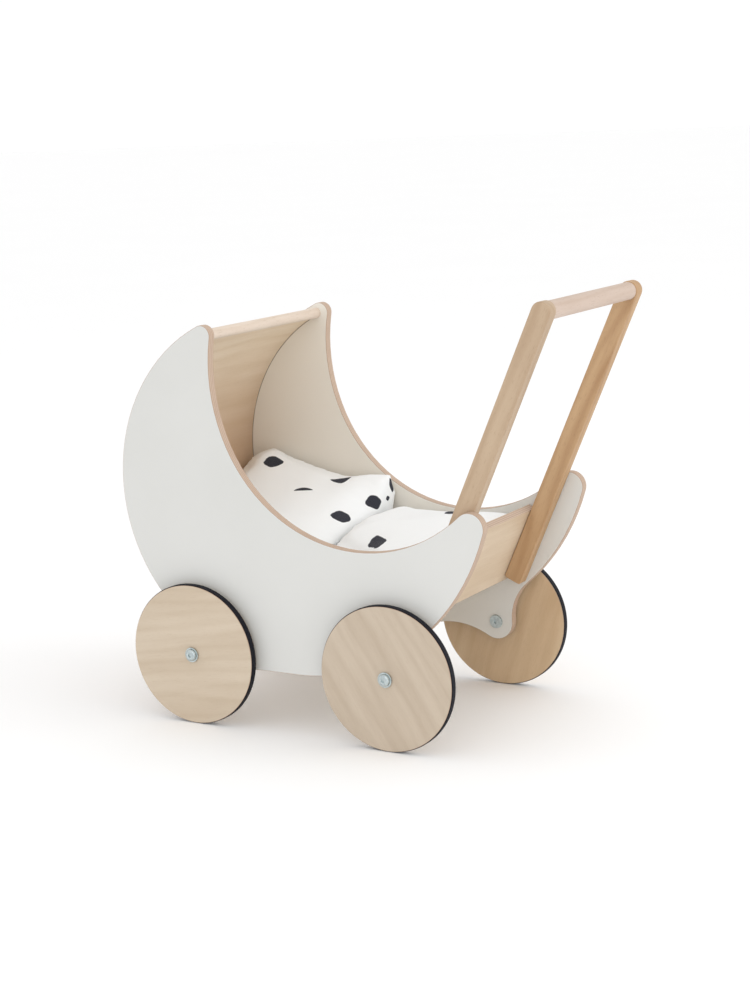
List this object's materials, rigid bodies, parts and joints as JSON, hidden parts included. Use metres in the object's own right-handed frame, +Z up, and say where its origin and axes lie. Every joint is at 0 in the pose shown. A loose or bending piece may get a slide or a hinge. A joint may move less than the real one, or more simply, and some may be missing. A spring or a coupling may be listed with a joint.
{
  "type": "doll stroller",
  "caption": "Wooden doll's pram with crescent side panels, bent hood, slanted handle arms with a round grip, rubber-rimmed disc wheels and loose bedding.",
  "frame": {"origin": "on the floor, under the middle of the pram's bounding box", "axes": "+X from the hood towards the handle, +Y to the pram's right-hand side, +Z up"},
  "size_m": [0.5062, 0.2842, 0.4588],
  "materials": {
    "white_laminate": "white satin laminate on birch plywood, bare plywood edges",
    "birch_ply": "clear matt lacquer on birch plywood",
    "beech": "clear matt oil on solid beech",
    "rubber": "matt black rubber",
    "zinc_steel": "bright zinc plate",
    "nylon": "natural nylon",
    "cotton": "woven cotton, white with dark blotches"
  },
  "bodies": {
    "pram": {"side_panel_left": "white_laminate", "handle_arm_left": "beech", "side_panel_right": "white_laminate", "handle_arm_right": "beech", "hood_sheet": "birch_ply", "hood_crossbar": "beech", "floor_board": "birch_ply", "rear_board": "birch_ply", "handle_grip": "beech", "floor_dowel_left_1": "beech", "floor_dowel_left_2": "beech", "floor_dowel_right_1": "beech", "floor_dowel_right_2": "beech", "rear_board_dowel_left_1": "beech", "rear_board_dowel_left_2": "beech", "rear_board_dowel_right_1": "beech", "rear_board_dowel_right_2": "beech", "arm_dowel_left_1": "beech", "arm_dowel_left_2": "beech", "arm_dowel_right_1": "beech", "arm_dowel_right_2": "beech", "wheel_spacer_front_left": "nylon", "sleeve_nut_front_left": "zinc_steel", "washer_front_left": "zinc_steel", "axle_bolt_front_left": "zinc_steel", "wheel_spacer_front_right": "nylon", "sleeve_nut_front_right": "zinc_steel", "washer_front_right": "zinc_steel", "axle_bolt_front_right": "zinc_steel", "wheel_spacer_rear_left": "nylon", "sleeve_nut_rear_left": "zinc_steel", "washer_rear_left": "zinc_steel", "axle_bolt_rear_left": "zinc_steel", "wheel_spacer_rear_right": "nylon", "sleeve_nut_rear_right": "zinc_steel", "washer_rear_right": "zinc_steel", "axle_bolt_rear_right": "zinc_steel", "mattress": "cotton", "pillow": "cotton", "quilt": "cotton"},
    "front_left_wheel": {"wheel_front_left": "birch_ply", "tyre_front_left": "rubber"},
    "front_right_wheel": {"wheel_front_right": "birch_ply", "tyre_front_right": "rubber"},
    "rear_left_wheel": {"wheel_rear_left": "birch_ply", "tyre_rear_left": "rubber"},
    "rear_right_wheel": {"wheel_rear_right": "birch_ply", "tyre_rear_right": "rubber"}
  },
  "joints": [
    {"name": "front_left_wheel_spin", "type": "hinge", "parent": "pram", "child": "front_left_wheel", "pos_m": [-0.16281, -0.1325, 0.0763], "axis": [0, 1, 0], "continuous": true},
    {"name": "front_right_wheel_spin", "type": "hinge", "parent": "pram", "child": "front_right_wheel", "pos_m": [-0.16281, 0.1325, 0.0763], "axis": [0, 1, 0], "continuous": true},
    {"name": "rear_left_wheel_spin", "type": "hinge", "parent": "pram", "child": "rear_left_wheel", "pos_m": [0.07479, -0.1325, 0.0763], "axis": [0, 1, 0], "continuous": true},
    {"name": "rear_right_wheel_spin", "type": "hinge", "parent": "pram", "child": "rear_right_wheel", "pos_m": [0.07479, 0.1325, 0.0763], "axis": [0, 1, 0], "continuous": true}
  ]
}
